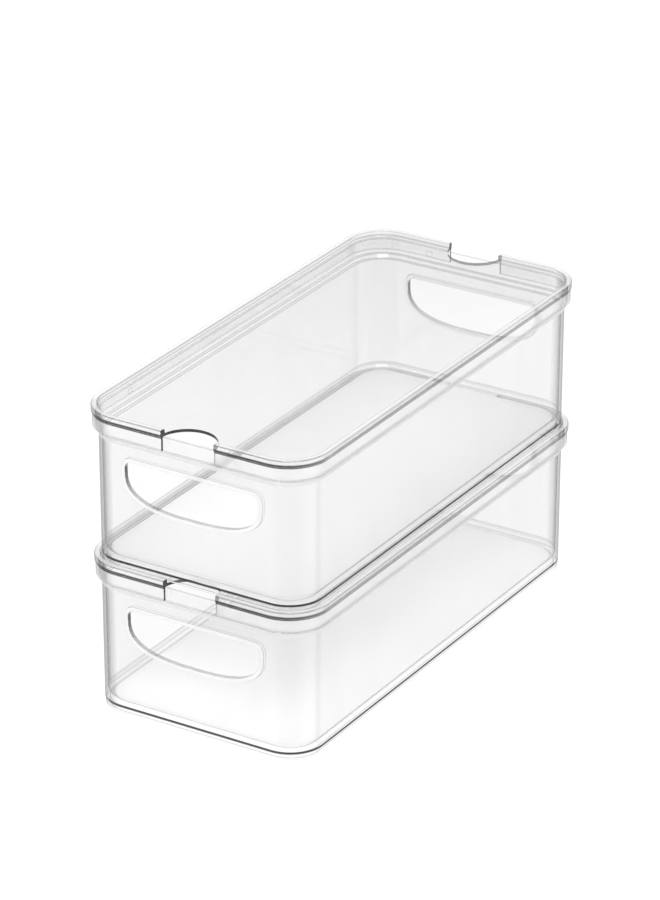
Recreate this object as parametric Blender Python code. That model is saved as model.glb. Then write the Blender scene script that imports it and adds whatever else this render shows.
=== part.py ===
"""Two clear moulded fridge bins, each with a lift-off lid, stacked one on the other.

Metres, +Z up, origin at the bottom centre, long axis along Y. Every wall of a bin or a lid is
one stack of rounded-rectangle loops, given as (inset from the lid's outline, height).
"""

import math

import bmesh
import bpy

# Driving dimensions
LID_WIDTH = 0.166
LID_LENGTH = 0.348
LID_CORNER = 0.028  # corner radius of the lid's outline, seen from above
CLOSED_HEIGHT = 0.1038  # one bin with its lid on
GAP = 0.0003  # left between pieces that touch

# Lid: heights from the skirt's lower edge
LID_HEIGHT = 0.0140
BEAD_RISE = 0.0029  # raised rim above the panel
BEAD_WIDTH = 0.0040
PANEL_THICKNESS = 0.0020
SKIRT_INSET = 0.0007
SKIRT_THICKNESS = 0.0017
BEAD_ROUND = 0.0006
PANEL_TOP = LID_HEIGHT - BEAD_RISE
PANEL_UNDERSIDE = PANEL_TOP - PANEL_THICKNESS
NOTCH_RADIUS = 0.0190  # thumb notch, centred on each short edge

# Bin: heights from the foot
RIM_TOP = CLOSED_HEIGHT - LID_HEIGHT + PANEL_UNDERSIDE - GAP
RIM_INSET = 0.0029
WALL = 0.0020
WALL_INSET_TOP = 0.0045
WALL_INSET_BASE = 0.0048
SHOULDER_TOP = CLOSED_HEIGHT - 0.0158
SHOULDER_DROP = 0.0032
FLOOR_UNDERSIDE = 0.0037
FLOOR_TOP = 0.0058
FLOOR_FILLET = 0.0050
FOOT_INSET = 0.0052
FOOT_WIDTH = 0.0026
FOOT_CHAMFER = 0.0004

# Grip opening in each short end: flat on top, a full curve below
GRIP_HALF_WIDTH = 0.0480
GRIP_TOP = CLOSED_HEIGHT - 0.0292
GRIP_BELLY_TOP = CLOSED_HEIGHT - 0.0360
GRIP_BOTTOM = CLOSED_HEIGHT - 0.0578
GRIP_TOP_CORNER = 0.0040
GRIP_BELLY_POWER = 2.7  # superellipse exponent of the curve

PITCH = CLOSED_HEIGHT - BEAD_RISE + GAP  # the upper bin's foot stands in the lower lid
CORNER_STEPS = 8
FILLET_STEPS = 4
NOTCH_SIDES = 40
CUT_MARGIN = 0.010
SMOOTH_ANGLE = math.radians(30)
CLEAR_PLASTIC = (0.92, 0.93, 0.94, 1.0)


def clear_scene():
    for thing in list(bpy.data.objects):
        bpy.data.objects.remove(thing, do_unlink=True)


def rounded_rectangle(inset):
    """Points around the lid's outline moved in by inset, counter-clockwise from above."""
    radius = LID_CORNER - inset
    half_x = LID_WIDTH / 2 - inset - radius
    half_y = LID_LENGTH / 2 - inset - radius
    centres = ((half_x, half_y), (-half_x, half_y), (-half_x, -half_y), (half_x, -half_y))
    points = []
    for quarter, (centre_x, centre_y) in enumerate(centres):
        for step in range(CORNER_STEPS + 1):
            angle = math.pi / 2 * (quarter + step / CORNER_STEPS)
            points.append((centre_x + radius * math.cos(angle), centre_y + radius * math.sin(angle)))
    return points


def clear_plastic(name):
    material = bpy.data.materials.new(name)
    material.use_nodes = True
    shader = material.node_tree.nodes["Principled BSDF"]
    shader.inputs["Base Color"].default_value = CLEAR_PLASTIC
    shader.inputs["Roughness"].default_value = 0.08
    shader.inputs["Metallic"].default_value = 0.0
    shader.inputs["Alpha"].default_value = 0.35
    return material


def add_object(name, bm):
    """Makes an object of the closed bmesh, with its faces pointing out."""
    bmesh.ops.recalc_face_normals(bm, faces=bm.faces)
    mesh = bpy.data.meshes.new(name)
    bm.to_mesh(mesh)
    bm.free()
    thing = bpy.data.objects.new(name, mesh)
    bpy.context.scene.collection.objects.link(thing)
    return thing


def moulding(name, profile):
    """A closed moulded shell through the profile's loops, capped by its first and last loop."""
    bm = bmesh.new()
    loops = [[bm.verts.new((x, y, z)) for x, y in rounded_rectangle(inset)] for inset, z in profile]
    count = len(loops[0])
    for lower, upper in zip(loops, loops[1:]):
        for i in range(count):
            j = (i + 1) % count
            bm.faces.new((lower[i], lower[j], upper[j], upper[i]))
    bm.faces.new(loops[0])
    bm.faces.new(loops[-1])
    thing = add_object(name, bm)
    thing.data.materials.append(clear_plastic(name))
    thing.data.shade_smooth()
    thing.data.set_sharp_from_angle(angle=SMOOTH_ANGLE)
    return thing


def bin_profile():
    """From the floor's underside, out round the foot, up the wall, over the rim and down inside."""
    wall_inside_base = WALL_INSET_BASE + WALL
    wall_inside_top = WALL_INSET_TOP + WALL
    shoulder_bottom = SHOULDER_TOP - SHOULDER_DROP
    outside = [
        (FOOT_INSET + FOOT_WIDTH, FLOOR_UNDERSIDE),
        (FOOT_INSET + FOOT_WIDTH, 0.0),
        (FOOT_INSET + FOOT_CHAMFER, 0.0),
        (FOOT_INSET, FOOT_CHAMFER),
        (FOOT_INSET, FLOOR_UNDERSIDE),
        (WALL_INSET_BASE, FLOOR_UNDERSIDE + FOOT_CHAMFER),
        (WALL_INSET_TOP, shoulder_bottom),
        ((WALL_INSET_TOP + RIM_INSET) / 2, shoulder_bottom + SHOULDER_DROP / 4),
        (RIM_INSET, SHOULDER_TOP),
        (RIM_INSET, RIM_TOP),
    ]
    inside = [
        (RIM_INSET + WALL, RIM_TOP),
        (RIM_INSET + WALL, SHOULDER_TOP),
        (wall_inside_top, shoulder_bottom),
    ]
    for step in range(FILLET_STEPS + 1):
        angle = math.pi / 2 * step / FILLET_STEPS
        inset = wall_inside_base + FLOOR_FILLET * (1 - math.cos(angle))
        inside.append((inset, FLOOR_TOP + FLOOR_FILLET * (1 - math.sin(angle))))
    return outside + inside


def lid_profile():
    """From the panel's underside, down the skirt, up its outside and over the raised rim."""
    skirt_inside = SKIRT_INSET + SKIRT_THICKNESS
    return [
        (skirt_inside, PANEL_UNDERSIDE),
        (skirt_inside, 0.0),
        (SKIRT_INSET, 0.0),
        (SKIRT_INSET, PANEL_UNDERSIDE),
        (0.0, PANEL_UNDERSIDE + SKIRT_INSET),
        (0.0, LID_HEIGHT - BEAD_ROUND),
        (BEAD_ROUND, LID_HEIGHT),
        (BEAD_WIDTH - BEAD_ROUND, LID_HEIGHT),
        (BEAD_WIDTH, LID_HEIGHT - BEAD_ROUND),
        (BEAD_WIDTH, PANEL_TOP),
    ]


def grip_outline():
    """The grip opening as (x, z) points, from the top right corner round under the belly."""
    points = []
    for side in (1, -1):
        corner = []
        for step in range(FILLET_STEPS + 1):
            angle = math.pi / 2 * step / FILLET_STEPS
            x = GRIP_HALF_WIDTH - GRIP_TOP_CORNER * (1 - math.sin(angle))
            corner.append((side * x, GRIP_TOP - GRIP_TOP_CORNER * (1 - math.cos(angle))))
        points.append(corner if side == 1 else corner[::-1])
    belly = []
    belly_steps = 6 * FILLET_STEPS
    for step in range(belly_steps + 1):
        angle = math.pi * step / belly_steps
        across = abs(math.cos(angle)) ** (2 / GRIP_BELLY_POWER) * math.copysign(1, math.cos(angle))
        down = math.sin(angle) ** (2 / GRIP_BELLY_POWER)
        depth = GRIP_BELLY_TOP - GRIP_BOTTOM
        belly.append((GRIP_HALF_WIDTH * across, GRIP_BELLY_TOP - depth * down))
    return points[0] + belly + points[1]


def grip_cutter(name):
    """A bar along Y with the grip's outline, longer than the bin."""
    bm = bmesh.new()
    reach = LID_LENGTH / 2 + CUT_MARGIN
    near = [bm.verts.new((x, -reach, z)) for x, z in grip_outline()]
    far = [bm.verts.new((x, reach, z)) for x, z in grip_outline()]
    count = len(near)
    for i in range(count):
        j = (i + 1) % count
        bm.faces.new((near[i], near[j], far[j], far[i]))
    bm.faces.new(near)
    bm.faces.new(far)
    return add_object(name, bm)


def notch_cutter(name, end):
    """An upright post centred on one short edge of the lid."""
    bm = bmesh.new()
    bmesh.ops.create_cone(
        bm,
        cap_ends=True,
        segments=NOTCH_SIDES,
        radius1=NOTCH_RADIUS,
        radius2=NOTCH_RADIUS,
        depth=LID_HEIGHT + 2 * CUT_MARGIN,
    )
    bmesh.ops.translate(bm, verts=bm.verts, vec=(0, end * LID_LENGTH / 2, LID_HEIGHT / 2))
    return add_object(name, bm)


def cut(thing, cutter):
    cutter.parent = thing
    cutter.hide_render = True
    cutter.display_type = "WIRE"
    modifier = thing.modifiers.new(cutter.name, "BOOLEAN")
    modifier.operation = "DIFFERENCE"
    modifier.solver = "EXACT"
    modifier.object = cutter


def add_bin(name, height, parent=None):
    thing = moulding(name, bin_profile())
    cut(thing, grip_cutter(name + "_grip_cut"))
    place(thing, height, parent)
    return thing


def add_lid(name, height, parent):
    thing = moulding(name, lid_profile())
    for label, end in (("front", -1), ("back", 1)):
        cut(thing, notch_cutter(f"{name}_{label}_notch_cut", end))
    place(thing, height, parent)
    return thing


def place(thing, height, parent):
    """Stands the piece on the upright axis, height above its parent's own origin."""
    thing.parent = parent
    thing.location = (0, 0, height)


def main():
    clear_scene()
    lid_seat = CLOSED_HEIGHT - LID_HEIGHT
    lower_bin = add_bin("lower_bin", 0)
    lower_lid = add_lid("lower_lid", lid_seat, lower_bin)
    upper_bin = add_bin("upper_bin", PITCH - lid_seat, lower_lid)
    add_lid("upper_lid", lid_seat, upper_bin)


main()
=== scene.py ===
"""Looks of a stacked pair of clear fridge bins: fine moulded meshes in clear plastic, on a pale lit table.

Every visible piece is one clear moulding, built as a stack of rounded-rectangle loops and then
cut. Lengths are metres. Insets are measured inwards from the lid's outline, seen from above.
"""

import math

import bmesh
import bpy
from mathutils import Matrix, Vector


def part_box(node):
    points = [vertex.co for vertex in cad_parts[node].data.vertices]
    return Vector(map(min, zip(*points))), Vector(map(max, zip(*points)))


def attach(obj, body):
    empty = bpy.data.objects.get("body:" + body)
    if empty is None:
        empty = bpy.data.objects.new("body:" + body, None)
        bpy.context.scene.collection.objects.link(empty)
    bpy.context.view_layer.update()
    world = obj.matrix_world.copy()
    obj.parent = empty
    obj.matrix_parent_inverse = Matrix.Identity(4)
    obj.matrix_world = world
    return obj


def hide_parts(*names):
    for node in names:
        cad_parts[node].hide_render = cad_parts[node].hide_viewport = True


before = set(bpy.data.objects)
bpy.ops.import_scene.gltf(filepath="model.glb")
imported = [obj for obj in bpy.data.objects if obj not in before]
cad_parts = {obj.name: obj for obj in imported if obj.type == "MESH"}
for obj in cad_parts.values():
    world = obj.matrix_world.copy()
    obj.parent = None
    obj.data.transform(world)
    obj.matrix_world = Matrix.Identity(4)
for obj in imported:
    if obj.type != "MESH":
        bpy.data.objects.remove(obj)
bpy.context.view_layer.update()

# The frame's own sizes
LID_LOW, LID_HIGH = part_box("upper_lid")
LID_WIDTH = LID_HIGH.x - LID_LOW.x
LID_LENGTH = LID_HIGH.y - LID_LOW.y
LID_HEIGHT = LID_HIGH.z - LID_LOW.z
RIM_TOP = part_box("lower_bin")[1].z
CLOSED_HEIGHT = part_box("lower_lid")[1].z

# Lid, heights from the skirt's lower edge
LID_CORNER = 0.028
BEAD_RISE = 0.0029
BEAD_WIDTH = 0.0040
BEAD_ROUND = 0.0008
PANEL_THICKNESS = 0.0020
PANEL_TOP = LID_HEIGHT - BEAD_RISE
PANEL_UNDERSIDE = PANEL_TOP - PANEL_THICKNESS
SKIRT_INSET = 0.0007
SKIRT_THICKNESS = 0.0017
SKIRT_ROUND = 0.0004
NOTCH_RADIUS = 0.0190
NUB_WIDTH = 0.0048
NUB_LOW = 0.0012
NUB_HIGH = 0.0048
NUB_PROUD = 0.00035
NUB_ROUND = 0.0003
END_NUBS = (0.0345, -0.0605)
SIDE_NUB = 0.115

# Bin, heights from the foot
RIM_INSET = 0.0029
WALL = 0.0020
WALL_INSET_TOP = 0.0045
WALL_INSET_BASE = 0.0048
SHOULDER_TOP = CLOSED_HEIGHT - 0.0158
SHOULDER_DROP = 0.0032
SHOULDER_ROUND = 0.0022
FLOOR_UNDERSIDE = 0.0037
FLOOR_TOP = 0.0058
FLOOR_FILLET = 0.0050
FOOT_INSET = 0.0052
FOOT_WIDTH = 0.0026
EDGE_ROUND = 0.0005

# Grip opening in each short end
GRIP_HALF_WIDTH = 0.0480
GRIP_TOP = CLOSED_HEIGHT - 0.0292
GRIP_BELLY_TOP = CLOSED_HEIGHT - 0.0360
GRIP_BOTTOM = CLOSED_HEIGHT - 0.0578
GRIP_TOP_CORNER = 0.0040
GRIP_BELLY_POWER = 2.7
LIP_WIDTH = 0.0026
LIP_PROUD = 0.0006
LIP_OUTSIDE_INSET = WALL_INSET_TOP - LIP_PROUD
LIP_INSIDE_INSET = WALL_INSET_TOP + WALL + LIP_PROUD

# Meshes: steps round each curve, material slots while cutting, and how cuts are made
CORNER_STEPS = 24
GRIP_CORNER_STEPS = 8
GRIP_BELLY_STEPS = 64
NOTCH_STEPS = 96
WALL_SLOT = 0
CUT_SLOT = 1
CUT_MARGIN = 0.010
CUT_EDGE_ROUND = 0.0004
CUT_EDGE_ANGLE = math.radians(50)

# Clear plastic, by how far a surface turns away: 0 faces the eye, 1 is edge-on
FACING_BLEND = 0.5
THROUGH_TONES = (
    (0.0, 0.96), (0.13, 0.97), (0.23, 0.992), (0.585, 0.992),
    (0.63, 0.92), (0.7, 0.88), (0.85, 0.86), (1.0, 0.6),
)
MIRROR_SHARES = ((0.0, 0.04), (0.4, 0.06), (0.6, 0.1), (0.8, 0.2), (1.0, 0.4))
# Painted shade on plate edges: the share that shows by how far a face turns away, and from behind
ENTRY_SHADE_SHARES = ((0.0, 1.0), (0.55, 1.0), (0.7, 0.7))
EXIT_SHADE_SHARE = 0.2
# Painted shade band down the rounded upright corners, by how far they turn away
CORNER_SHADE_DEPTHS = ((0.36, 0.0), (0.42, 0.1), (0.6, 0.14), (1.0, 0.36))
CORNER_SHADE_GAIN = 3.6
CORNER_LEAN = 0.3
MILK_TONE = 0.98
MILK_GLOW = 0.65
ABSORPTION = 7.0
ABSORPTION_COLOUR = (0.30, 0.31, 0.32, 1.0)

# Noise in the plastic: waves a metre along each axis, detail, and what it drives
NOISE_SPAN = (0.35, 0.75)
FLOW_WAVES = (9.0, 9.0, 9.0)
FLOW_DETAIL = 1.0
FLOW_STRENGTH = 0.25
FLOW_DISTANCE = 0.001
RUB_WAVES = (1400.0, 35.0, 35.0)
RUB_DETAIL = 3.0
RUB_ROUGHNESS = (0.02, 0.12)
STREAK_WAVES = (60.0, 60.0, 4.0)
STREAK_DETAIL = 2.0
STREAK_TONES = (1.0, 0.99)

# Marks on the faces, from 0 to 1: painted shade along edges and corners, milk, and milky bands painted as
# highlights
EDGE_SHADE_MARK = "depth"
ENTRY_SHADE_MARK = "entry_shade_depth"
MILK_MARK = "milk"
OUTER_MILK_AND_HIGHLIGHT_MARK = "outer_milk_and_highlight"
CORNER_SHADE_MARK = "upright_corner_shade"
MARKS = (EDGE_SHADE_MARK, ENTRY_SHADE_MARK, MILK_MARK, OUTER_MILK_AND_HIGHLIGHT_MARK, CORNER_SHADE_MARK)
# Painted shade: darker lines on the narrow faces of rounded edges, and bin walls below the shoulder a
# little darker
EDGE_LINE_SHADE = 0.3
WALL_DEPTH = 0.018
EDGE_FACE_WIDTH = 0.0005
# Painted shade on cut faces, darker when upright, on the bin's base line, the panel's edge and the floor
# fillet
CUT_FACE_SHADE = 0.9
LEVEL_CUT_SHADE = 0.3
BASE_LINE_SHADE = 0.95
PANEL_END_SHADE = 0.88
PANEL_SIDE_SHADE = 0.5
FILLET_SHADE = 0.26
FLOOR_MILK = 0.8
# Milky white bands on the bin's shoulder and grip lip are painted highlights
BAND_HIGHLIGHT_MILK = 0.7
SKIRT_MILK = 0.3
BEAD_MILK = 0.45
# Painted shade on the upright cut faces of the lid's notch and the bin's grip
NOTCH_CUT_SHADE = 0.6
GRIP_CUT_SHADE = 0.0
BASE_LINE_HEIGHT = 0.0020
PANEL_BAND_DROP = 0.0008

# How far up a face looks, as the height of its normal
LEVEL_FLOOR = 0.99
LEVEL_BEAD = 0.9
SIDEWAYS = 0.5
FILLET_START = 0.05

# Camera and light table
AZIMUTH = math.radians(31.6)
ELEVATION = math.radians(25.1)
DISTANCE = 2.93
LENS_MM = 183.2
AIM = Vector((-0.0135, 0.0118, 0.1195))
TABLE_SIZE = 8.0
TABLE_DROP = 0.0002
TABLE_TONE = 0.04
TABLE_ROUGHNESS = 0.9
TABLE_GLOW = 1.075
LAMP_PLACE = (0.9, -1.3, 1.8)
LAMP_SIZE = 1.4
LAMP_POWER = 66.0
CLEAR_LAYERS = 64
TENT_TONES = ((0.0, 1.0), (0.3, 0.9), (0.6, 0.9), (1.0, 1.0))


# ---------- outlines and profiles ----------


def rounded_rectangle(inset):
    """Points around the lid's outline moved in by inset, counter-clockwise from above."""
    radius = LID_CORNER - inset
    half_x = LID_WIDTH / 2 - inset - radius
    half_y = LID_LENGTH / 2 - inset - radius
    centres = ((half_x, half_y), (-half_x, half_y), (-half_x, -half_y), (half_x, -half_y))
    points = []
    for quarter, (centre_x, centre_y) in enumerate(centres):
        for step in range(CORNER_STEPS + 1):
            angle = math.pi / 2 * (quarter + step / CORNER_STEPS)
            points.append((centre_x + radius * math.cos(angle), centre_y + radius * math.sin(angle)))
    return points


def rounded_profile(corners):
    """The profile through (inset, height, radius, steps) corners, each rounded by an arc."""
    points = []
    for index, (inset, height, radius, steps) in enumerate(corners):
        here = Vector((inset, height))
        if radius == 0:
            points.append(here)
            continue
        back = (Vector(corners[index - 1][:2]) - here).normalized()
        ahead = (Vector(corners[index + 1][:2]) - here).normalized()
        half_turn = back.angle(ahead) / 2
        centre = here + (back + ahead).normalized() * radius / math.sin(half_turn)
        start = here + back * radius / math.tan(half_turn) - centre
        end = here + ahead * radius / math.tan(half_turn) - centre
        sweep = start.angle_signed(end)
        for step in range(steps + 1):
            turn = -sweep * step / steps
            cosine, sine = math.cos(turn), math.sin(turn)
            turned = Vector((start.x * cosine - start.y * sine, start.x * sine + start.y * cosine))
            points.append(centre + turned)
    return points


def bin_profile():
    """From the floor's underside, out round the foot, up the wall, over the rim and down inside."""
    shoulder_bottom = SHOULDER_TOP - SHOULDER_DROP
    foot_inside = FOOT_INSET + FOOT_WIDTH
    floor_edge = WALL_INSET_BASE + WALL
    return rounded_profile([
        (foot_inside + FOOT_WIDTH, FLOOR_UNDERSIDE, 0, 0),
        (foot_inside, FLOOR_UNDERSIDE, EDGE_ROUND, 3),
        (foot_inside, 0, EDGE_ROUND, 3),
        (FOOT_INSET, 0, EDGE_ROUND, 3),
        (FOOT_INSET, FLOOR_UNDERSIDE, EDGE_ROUND / 4, 2),
        (WALL_INSET_BASE, FLOOR_UNDERSIDE + EDGE_ROUND, EDGE_ROUND / 2, 3),
        (WALL_INSET_BASE, FLOOR_UNDERSIDE + BASE_LINE_HEIGHT, 0, 0),
        (WALL_INSET_TOP, shoulder_bottom, SHOULDER_ROUND, 4),
        (RIM_INSET, SHOULDER_TOP, SHOULDER_ROUND, 4),
        (RIM_INSET, RIM_TOP, EDGE_ROUND, 4),
        (RIM_INSET + WALL, RIM_TOP, EDGE_ROUND, 4),
        (RIM_INSET + WALL, SHOULDER_TOP, SHOULDER_ROUND, 4),
        (WALL_INSET_TOP + WALL, shoulder_bottom, SHOULDER_ROUND, 4),
        (floor_edge, FLOOR_TOP, FLOOR_FILLET, 10),
        (floor_edge + 3 * FLOOR_FILLET, FLOOR_TOP, 0, 0),
    ])


def lid_profile():
    """From the panel's underside, down the skirt, up its outside and over the raised rim."""
    skirt_inside = SKIRT_INSET + SKIRT_THICKNESS
    return rounded_profile([
        (skirt_inside + BEAD_WIDTH, PANEL_UNDERSIDE, 0, 0),
        (skirt_inside, PANEL_UNDERSIDE, EDGE_ROUND, 3),
        (skirt_inside, 0, SKIRT_ROUND, 3),
        (SKIRT_INSET, 0, SKIRT_ROUND, 3),
        (SKIRT_INSET, PANEL_UNDERSIDE - PANEL_BAND_DROP, 0, 0),
        (SKIRT_INSET, PANEL_UNDERSIDE, SKIRT_ROUND, 3),
        (0, PANEL_UNDERSIDE + SKIRT_INSET, SKIRT_ROUND, 3),
        (0, PANEL_TOP, 0, 0),
        (0, LID_HEIGHT, BEAD_ROUND, 5),
        (BEAD_WIDTH, LID_HEIGHT, BEAD_ROUND, 5),
        (BEAD_WIDTH, PANEL_TOP, EDGE_ROUND, 3),
        (2 * BEAD_WIDTH, PANEL_TOP, 0, 0),
    ])


def grip_outline(grow=0.0):
    """The grip opening as (x, z) points, from the top right corner round under the belly."""
    points = []
    for side in (1, -1):
        corner = []
        for step in range(GRIP_CORNER_STEPS + 1):
            angle = math.pi / 2 * step / GRIP_CORNER_STEPS
            x = GRIP_HALF_WIDTH + grow - (GRIP_TOP_CORNER + grow) * (1 - math.sin(angle))
            z = GRIP_TOP + grow - (GRIP_TOP_CORNER + grow) * (1 - math.cos(angle))
            corner.append((side * x, z))
        points.append(corner if side == 1 else corner[::-1])
    belly = []
    depth = GRIP_BELLY_TOP - GRIP_BOTTOM + grow
    for step in range(GRIP_BELLY_STEPS + 1):
        angle = math.pi * step / GRIP_BELLY_STEPS
        across = abs(math.cos(angle)) ** (2 / GRIP_BELLY_POWER) * math.copysign(1, math.cos(angle))
        down = math.sin(angle) ** (2 / GRIP_BELLY_POWER)
        belly.append(((GRIP_HALF_WIDTH + grow) * across, GRIP_BELLY_TOP - depth * down))
    return points[0] + belly + points[1]


# ---------- meshes ----------


def add_object(name, bm, slot=WALL_SLOT):
    """An object of bm whose faces all have the material slot of the given number."""
    bmesh.ops.recalc_face_normals(bm, faces=bm.faces)
    for face in bm.faces:
        face.material_index = slot
    mesh = bpy.data.meshes.new(name)
    bm.to_mesh(mesh)
    bm.free()
    for label in ("wall", "cut"):
        material = bpy.data.materials.get(label) or bpy.data.materials.new(label)
        mesh.materials.append(material)
    thing = bpy.data.objects.new(name, mesh)
    bpy.context.scene.collection.objects.link(thing)
    return thing


def moulding(name, profile):
    """A closed shell through the profile's loops, capped by its first and last loop."""
    bm = bmesh.new()
    loops = [[bm.verts.new((x, y, z)) for x, y in rounded_rectangle(inset)] for inset, z in profile]
    count = len(loops[0])
    for lower, upper in zip(loops, loops[1:]):
        for i in range(count):
            j = (i + 1) % count
            bm.faces.new((lower[i], lower[j], upper[j], upper[i]))
    bm.faces.new(loops[0])
    bm.faces.new(loops[-1])
    return add_object(name, bm)


def prism(name, outline, low_y, high_y, slot):
    """A bar along Y with an outline of (x, z) points."""
    bm = bmesh.new()
    near = [bm.verts.new((x, low_y, z)) for x, z in outline]
    far = [bm.verts.new((x, high_y, z)) for x, z in outline]
    count = len(near)
    for i in range(count):
        j = (i + 1) % count
        bm.faces.new((near[i], near[j], far[j], far[i]))
    bm.faces.new(near)
    bm.faces.new(far)
    return add_object(name, bm, slot)


def notch_post(name, end):
    """The round post that cuts the finger notch at one end, -1 or 1, of a lid."""
    bm = bmesh.new()
    bmesh.ops.create_cone(
        bm,
        cap_ends=True,
        segments=NOTCH_STEPS,
        radius1=NOTCH_RADIUS,
        radius2=NOTCH_RADIUS,
        depth=LID_HEIGHT + 2 * CUT_MARGIN,
    )
    bmesh.ops.translate(bm, verts=bm.verts, vec=(0, end * LID_LENGTH / 2, LID_HEIGHT / 2))
    return add_object(name, bm, CUT_SLOT)


def nub(x, y, on_side):
    """A snap nub on the skirt's inner face, at the point (x, y) of the lid's outline."""
    depth = SKIRT_THICKNESS / 2 + NUB_PROUD
    middle = SKIRT_INSET + SKIRT_THICKNESS + NUB_PROUD - depth / 2
    size = (depth, NUB_WIDTH) if on_side else (NUB_WIDTH, depth)
    shift_x = -math.copysign(middle, x) if on_side else 0
    shift_y = 0 if on_side else -math.copysign(middle, y)
    bm = bmesh.new()
    bmesh.ops.create_cube(bm, size=1.0)
    bmesh.ops.scale(bm, verts=bm.verts, vec=(*size, NUB_HIGH - NUB_LOW))
    bmesh.ops.translate(bm, verts=bm.verts, vec=(x + shift_x, y + shift_y, (NUB_LOW + NUB_HIGH) / 2))
    bmesh.ops.bevel(bm, geom=bm.edges[:], offset=NUB_ROUND, segments=2, affect="EDGES")
    return add_object("nub", bm)


def combine(thing, other, operation):
    """Joins or cuts thing with other, which is then removed."""
    modifier = thing.modifiers.new(operation, "BOOLEAN")
    modifier.operation = operation
    modifier.solver = "EXACT"
    modifier.object = other
    bake_modifiers(thing)
    bpy.data.objects.remove(other, do_unlink=True)


def bake_modifiers(thing):
    """Replaces the object's mesh by what its modifiers make of it."""
    depsgraph = bpy.context.evaluated_depsgraph_get()
    mesh = bpy.data.meshes.new_from_object(thing.evaluated_get(depsgraph), depsgraph=depsgraph)
    thing.modifiers.clear()
    thing.data = mesh


def finish_surface(thing):
    """Rounds the cut edges a little and lets the flat faces keep flat shading normals."""
    bevel = thing.modifiers.new("cut_edges", "BEVEL")
    bevel.width = CUT_EDGE_ROUND
    bevel.segments = 3
    bevel.limit_method = "ANGLE"
    bevel.angle_limit = CUT_EDGE_ANGLE
    bevel.miter_outer = "MITER_ARC"
    bake_modifiers(thing)
    thing.data.shade_smooth()
    thing.data.set_sharp_from_angle(angle=CUT_EDGE_ANGLE)
    weighted = thing.modifiers.new("flat_faces", "WEIGHTED_NORMAL")
    weighted.mode = "FACE_AREA"
    weighted.weight = 100
    weighted.keep_sharp = True
    bake_modifiers(thing)


def inset_at(x, y):
    """How far inside the lid's outline the point (x, y) lies."""
    past_x = abs(x) - (LID_WIDTH / 2 - LID_CORNER)
    past_y = abs(y) - (LID_LENGTH / 2 - LID_CORNER)
    if past_x > 0 and past_y > 0:
        return LID_CORNER - math.hypot(past_x, past_y)
    return LID_CORNER - max(past_x, past_y)


def mark_faces(thing, shade_and_milk, wall_top, upright_cut_shade):
    """Stores five marks on each face; shade_and_milk gives the middle three for a wall face.

    The first is painted shade, most where a face rounds an edge. The second is painted shade
    on plate edges, cut faces included, the third for milky stretches, the fourth for those
    that are milky only from outside, among them painted highlights on the shoulder band and
    grip lip, and the last for painted shade down the rounded upright corners. Upright cut
    faces take upright_cut_shade or more of the painted shade.
    """
    mesh = thing.data
    rows = []
    for face in mesh.polygons:
        corners = [mesh.vertices[a].co for a in face.vertices]
        longest = max((a - b).length for a, b in zip(corners, corners[1:] + corners[:1]))
        edge = EDGE_LINE_SHADE if face.area < longest * EDGE_FACE_WIDTH else 0.0
        edge = max(edge, WALL_DEPTH if face.center.z < wall_top else 0.0)
        if face.material_index == CUT_SLOT:
            level = abs(face.normal.z)
            edge = max(edge, upright_cut_shade * (1.0 - level))
            rows.append((edge, CUT_FACE_SHADE + (LEVEL_CUT_SHADE - CUT_FACE_SHADE) * level, 0.0, 0.0, 0.0))
        else:
            inset = inset_at(face.center.x, face.center.y)
            corner_shade_amount = min(1.0, CORNER_SHADE_GAIN * abs(face.normal.x * face.normal.y))
            upright = abs(face.normal.z) < CORNER_LEAN
            rows.append((edge, *shade_and_milk(face.center, face.normal, inset), corner_shade_amount if upright else 0.0))
    for column, name in enumerate(MARKS):
        mark = mesh.attributes.new(name, "FLOAT", "FACE")
        for row, cell in zip(rows, mark.data):
            cell.value = row[column]
    for face in mesh.polygons:
        face.material_index = WALL_SLOT
    mesh.materials.pop(index=CUT_SLOT)


def bin_shade_and_milk(centre, normal, inset):
    """Painted shade and milk of a bin's face: painted shade on the base line and floor fillet,
    milky floor, and milky shoulder band and grip lip painted as highlights.
    """
    base_line = FLOOR_UNDERSIDE - EDGE_ROUND < centre.z < FLOOR_UNDERSIDE + BASE_LINE_HEIGHT
    if base_line and inset < FOOT_INSET + EDGE_ROUND and abs(normal.z) < SIDEWAYS:
        return BASE_LINE_SHADE, 0.0, 0.0
    if centre.z < FLOOR_TOP + EDGE_ROUND and abs(normal.z) > LEVEL_FLOOR:
        return 0.0, FLOOR_MILK, 0.0
    if centre.z < FLOOR_TOP + FLOOR_FILLET and normal.z > FILLET_START:
        return FILLET_SHADE * math.cos(2 * math.asin(normal.z)) ** 2, 0.0, 0.0
    outward = centre.x * normal.x + centre.y * normal.y > 0
    if outward and SHOULDER_TOP - SHOULDER_DROP - SHOULDER_ROUND < centre.z < SHOULDER_TOP:
        return 0.0, 0.0, BAND_HIGHLIGHT_MILK
    on_lip = abs(abs(centre.y) - (LID_LENGTH / 2 - LIP_OUTSIDE_INSET)) < LIP_PROUD / 2
    return 0.0, 0.0, BAND_HIGHLIGHT_MILK if on_lip else 0.0


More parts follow.
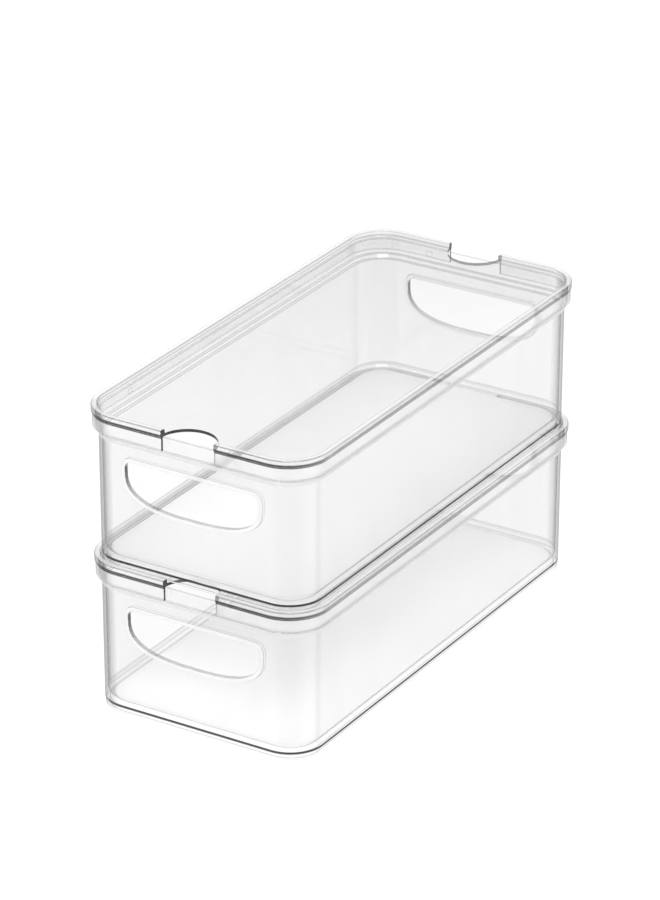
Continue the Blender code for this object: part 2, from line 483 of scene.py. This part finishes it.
def lid_shade_and_milk(centre, normal, inset):
    """Painted shade and milk of a lid's face: painted shade on the panel's edge, darkest at the ends, and
    milk on the raised rim and skirt.
    """
    outer = inset < SKIRT_INSET + EDGE_ROUND / 2 and normal.z < SIDEWAYS
    if outer and PANEL_UNDERSIDE - PANEL_BAND_DROP < centre.z < PANEL_TOP:
        return PANEL_SIDE_SHADE + (PANEL_END_SHADE - PANEL_SIDE_SHADE) * abs(normal.y), 0.0, 0.0
    if normal.z > LEVEL_BEAD and centre.z > PANEL_TOP + EDGE_ROUND:
        return 0.0, 0.0, BEAD_MILK
    return 0.0, 0.0, SKIRT_MILK if outer and centre.z < PANEL_UNDERSIDE else 0.0


# ---------- materials ----------


def tone_ramp(nodes, stops):
    """A colour ramp with neutral tones at (position, tone) stops."""
    ramp = nodes.new("ShaderNodeValToRGB")
    elements = ramp.color_ramp.elements
    elements.remove(elements[1])
    for index, (position, tone) in enumerate(stops):
        element = elements[0] if index == 0 else elements.new(position)
        element.position = position
        element.color = (tone, tone, tone, 1.0)
    return ramp


def noise(nodes, links, stretch, detail):
    """Noise in the piece's own space, stretched by the number of waves a metre along each axis."""
    place = nodes.new("ShaderNodeTexCoord")
    mapping = nodes.new("ShaderNodeMapping")
    mapping.inputs["Scale"].default_value = stretch
    links.new(place.outputs["Object"], mapping.inputs["Vector"])
    texture = nodes.new("ShaderNodeTexNoise")
    texture.inputs["Scale"].default_value = 1.0
    texture.inputs["Detail"].default_value = detail
    links.new(mapping.outputs["Vector"], texture.inputs["Vector"])
    return texture.outputs["Fac"]


def ranged(nodes, links, value, low, high):
    """A noise value spread over the range from low to high."""
    spread = nodes.new("ShaderNodeMapRange")
    spread.inputs["From Min"].default_value = NOISE_SPAN[0]
    spread.inputs["From Max"].default_value = NOISE_SPAN[1]
    spread.inputs["To Min"].default_value = low
    spread.inputs["To Max"].default_value = high
    links.new(value, spread.inputs["Value"])
    return spread.outputs["Result"]


def maths(nodes, links, operation, first, second):
    """A math node of two sockets or numbers."""
    node = nodes.new("ShaderNodeMath")
    node.operation = operation
    for slot, value in enumerate((first, second)):
        if isinstance(value, (int, float)):
            node.inputs[slot].default_value = value
        else:
            links.new(value, node.inputs[slot])
    return node.outputs[0]


def mark_value(nodes, name):
    """The value of a mark on the face being shaded."""
    mark = nodes.new("ShaderNodeAttribute")
    mark.attribute_name = name
    return mark.outputs["Fac"]


def clear_plastic(name):
    """Clear moulded plastic with thin walls, which show what is behind them unbent.

    They mirror more and let less light through where a surface turns away. The marks on the
    faces add the rest: painted shade along rounded edges, on plate edges and down rounded
    upright corners, and milky stretches, some of them painted highlights.
    """
    material = bpy.data.materials.new(name)
    material.use_nodes = True
    nodes = material.node_tree.nodes
    links = material.node_tree.links
    nodes.remove(nodes["Principled BSDF"])

    turn = nodes.new("ShaderNodeLayerWeight")
    turn.inputs["Blend"].default_value = FACING_BLEND
    through = tone_ramp(nodes, THROUGH_TONES)
    links.new(turn.outputs["Facing"], through.inputs["Fac"])
    streaks = ranged(nodes, links, noise(nodes, links, STREAK_WAVES, STREAK_DETAIL), *STREAK_TONES)
    # Painted shade: darker lines along rounded edges and upright cut faces, and a faint darkening of bin
    # walls below the shoulder
    edge_shade_tone = maths(nodes, links, "SUBTRACT", 1.0, mark_value(nodes, EDGE_SHADE_MARK))

    # Painted shade on a plate's edge: dark where the eye looks into it, and less so at a slant
    side = nodes.new("ShaderNodeNewGeometry")
    leaving = maths(nodes, links, "MULTIPLY", side.outputs["Backfacing"], 1.0 - EXIT_SHADE_SHARE)
    entering = maths(nodes, links, "SUBTRACT", 1.0, leaving)
    straight = tone_ramp(nodes, ENTRY_SHADE_SHARES)
    links.new(turn.outputs["Facing"], straight.inputs["Fac"])
    depth = maths(nodes, links, "MULTIPLY", mark_value(nodes, ENTRY_SHADE_MARK), entering)
    depth = maths(nodes, links, "MULTIPLY", depth, straight.outputs["Color"])
    entry_shade_tone = maths(nodes, links, "SUBTRACT", 1.0, depth)

    # Painted shade over a wide band down a wall's rounded upright corner, standing in for light guided
    # away
    corner_shade_amount = tone_ramp(nodes, CORNER_SHADE_DEPTHS)
    links.new(turn.outputs["Facing"], corner_shade_amount.inputs["Fac"])
    corner = maths(nodes, links, "MULTIPLY", mark_value(nodes, CORNER_SHADE_MARK), corner_shade_amount.outputs["Color"])
    corner_shade_tone = maths(nodes, links, "SUBTRACT", 1.0, corner)

    tone = maths(nodes, links, "MULTIPLY", through.outputs["Color"], streaks)
    tone = maths(nodes, links, "MULTIPLY", tone, corner_shade_tone)
    tone = maths(nodes, links, "MULTIPLY", tone, edge_shade_tone)
    tone = maths(nodes, links, "MULTIPLY", tone, entry_shade_tone)
    clear = nodes.new("ShaderNodeBsdfTransparent")
    links.new(tone, clear.inputs["Color"])

    milk_front = nodes.new("ShaderNodeBsdfDiffuse")
    milk_front.inputs["Color"].default_value = (MILK_TONE, MILK_TONE, MILK_TONE, 1.0)
    milk_back = nodes.new("ShaderNodeBsdfTranslucent")
    milk_back.inputs["Color"].default_value = (MILK_TONE, MILK_TONE, MILK_TONE, 1.0)
    milk = nodes.new("ShaderNodeMixShader")
    milk.inputs["Fac"].default_value = MILK_GLOW
    links.new(milk_front.outputs["BSDF"], milk.inputs[1])
    links.new(milk_back.outputs["BSDF"], milk.inputs[2])
    # Milk seen only from outside; on the shoulder band and grip lip it is a painted highlight
    outer_milk_and_highlight = maths(nodes, links, "MULTIPLY", mark_value(nodes, OUTER_MILK_AND_HIGHLIGHT_MARK), entering)
    body = nodes.new("ShaderNodeMixShader")
    milk_and_highlight_share = maths(nodes, links, "ADD", mark_value(nodes, MILK_MARK), outer_milk_and_highlight)
    links.new(milk_and_highlight_share, body.inputs["Fac"])
    links.new(clear.outputs["BSDF"], body.inputs[1])
    links.new(milk.outputs["Shader"], body.inputs[2])

    gloss = nodes.new("ShaderNodeBsdfAnisotropic")
    bump = nodes.new("ShaderNodeBump")
    bump.inputs["Strength"].default_value = FLOW_STRENGTH
    bump.inputs["Distance"].default_value = FLOW_DISTANCE
    links.new(noise(nodes, links, FLOW_WAVES, FLOW_DETAIL), bump.inputs["Height"])
    links.new(bump.outputs["Normal"], gloss.inputs["Normal"])
    rub = ranged(nodes, links, noise(nodes, links, RUB_WAVES, RUB_DETAIL), *RUB_ROUGHNESS)
    links.new(rub, gloss.inputs["Roughness"])
    share = tone_ramp(nodes, MIRROR_SHARES)
    links.new(turn.outputs["Facing"], share.inputs["Fac"])
    surface = nodes.new("ShaderNodeMixShader")
    links.new(share.outputs["Color"], surface.inputs["Fac"])
    links.new(body.outputs["Shader"], surface.inputs[1])
    links.new(gloss.outputs["BSDF"], surface.inputs[2])
    links.new(surface.outputs["Shader"], nodes["Material Output"].inputs["Surface"])

    absorb = nodes.new("ShaderNodeVolumeAbsorption")
    absorb.inputs["Color"].default_value = ABSORPTION_COLOUR
    absorb.inputs["Density"].default_value = ABSORPTION
    links.new(absorb.outputs["Volume"], nodes["Material Output"].inputs["Volume"])
    return material


# ---------- pieces ----------


def make_bin():
    """One bin, its foot at the origin."""
    thing = moulding("bin", bin_profile())
    reach = LID_LENGTH / 2 + CUT_MARGIN
    for end in (-1, 1):
        lip = sorted(end * (LID_LENGTH / 2 - inset) for inset in (LIP_OUTSIDE_INSET, LIP_INSIDE_INSET))
        combine(thing, prism("lip", grip_outline(LIP_WIDTH), *lip, WALL_SLOT), "UNION")
    combine(thing, prism("grip_cut", grip_outline(), -reach, reach, CUT_SLOT), "DIFFERENCE")
    finish_surface(thing)
    mark_faces(thing, bin_shade_and_milk, SHOULDER_TOP - SHOULDER_DROP - SHOULDER_ROUND, GRIP_CUT_SHADE)
    return thing


def make_lid():
    """One lid, its skirt's lower edge at the origin."""
    thing = moulding("lid", lid_profile())
    for end in (-1, 1):
        combine(thing, notch_post("notch_cut", end), "DIFFERENCE")
        for x in END_NUBS:
            combine(thing, nub(-end * x, end * LID_LENGTH / 2, False), "UNION")
        combine(thing, nub(end * LID_WIDTH / 2, end * SIDE_NUB, True), "UNION")
    finish_surface(thing)
    mark_faces(thing, lid_shade_and_milk, 0.0, NOTCH_CUT_SHADE)
    return thing


def stand_for(node, source, material):
    """A copy of source in the place of a CAD node, riding on the body of the same name."""
    piece = bpy.data.objects.new(node + "_moulding", source.data.copy())
    bpy.context.scene.collection.objects.link(piece)
    piece.location.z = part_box(node)[0].z
    piece.data.materials[WALL_SLOT] = material
    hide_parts(node)
    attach(piece, node)
    return piece


def build_stack():
    """Two bins and two lids in the places of the CAD nodes."""
    for label, source in (("bin", make_bin()), ("lid", make_lid())):
        material = clear_plastic("clear_" + label)
        for level in ("lower", "upper"):
            stand_for(f"{level}_{label}", source, material)
        bpy.data.objects.remove(source, do_unlink=True)


# ---------- stage, light and camera ----------


def light_table():
    """A wide pale table that glows a little, so that it stays white under clear pieces."""
    bpy.ops.mesh.primitive_plane_add(size=TABLE_SIZE, location=(0, 0, -TABLE_DROP))
    table = bpy.context.active_object
    table.name = "table"
    material = bpy.data.materials.new("table")
    material.use_nodes = True
    shader = material.node_tree.nodes["Principled BSDF"]
    shader.inputs["Base Color"].default_value = (TABLE_TONE, TABLE_TONE, TABLE_TONE, 1.0)
    shader.inputs["Roughness"].default_value = TABLE_ROUGHNESS
    shader.inputs["Specular IOR Level"].default_value = 0.0
    shader.inputs["Emission Color"].default_value = (1.0, 1.0, 1.0, 1.0)
    shader.inputs["Emission Strength"].default_value = TABLE_GLOW
    table.data.materials.append(material)


def studio():
    """A pale tent of light, and the view settings for clear layers on a white table."""
    world = bpy.data.worlds.new("studio")
    bpy.context.scene.world = world
    world.use_nodes = True
    nodes = world.node_tree.nodes
    links = world.node_tree.links
    background = nodes["Background"]
    place = nodes.new("ShaderNodeTexCoord")
    split = nodes.new("ShaderNodeSeparateXYZ")
    links.new(place.outputs["Generated"], split.inputs["Vector"])
    ramp = tone_ramp(nodes, TENT_TONES)
    links.new(split.outputs["Z"], ramp.inputs["Fac"])
    links.new(ramp.outputs["Color"], background.inputs["Color"])
    background.inputs["Strength"].default_value = 1.0
    bpy.context.scene.view_settings.view_transform = "Standard"
    bpy.context.scene.cycles.transparent_max_bounces = CLEAR_LAYERS


def soft_lamp(name, place, size, power):
    """A square soft box that faces the middle of the stack."""
    lamp = bpy.data.lights.new(name, "AREA")
    lamp.shape = "SQUARE"
    lamp.size = size
    lamp.energy = power
    holder = bpy.data.objects.new(name, lamp)
    bpy.context.scene.collection.objects.link(holder)
    holder.location = place
    holder.rotation_euler = (AIM - Vector(place)).to_track_quat("-Z", "Y").to_euler()


def camera():
    """The scene's camera, looking down at the stack from its front right."""
    back = Vector((
        math.sin(AZIMUTH) * math.cos(ELEVATION),
        -math.cos(AZIMUTH) * math.cos(ELEVATION),
        math.sin(ELEVATION),
    ))
    view = bpy.data.objects.new("camera", bpy.data.cameras.new("camera"))
    bpy.context.scene.collection.objects.link(view)
    view.data.lens = LENS_MM
    view.location = AIM + back * DISTANCE
    view.rotation_euler = (-back).to_track_quat("-Z", "Y").to_euler()
    bpy.context.scene.camera = view


camera()
light_table()
studio()
soft_lamp("top_box", LAMP_PLACE, LAMP_SIZE, LAMP_POWER)
build_stack()
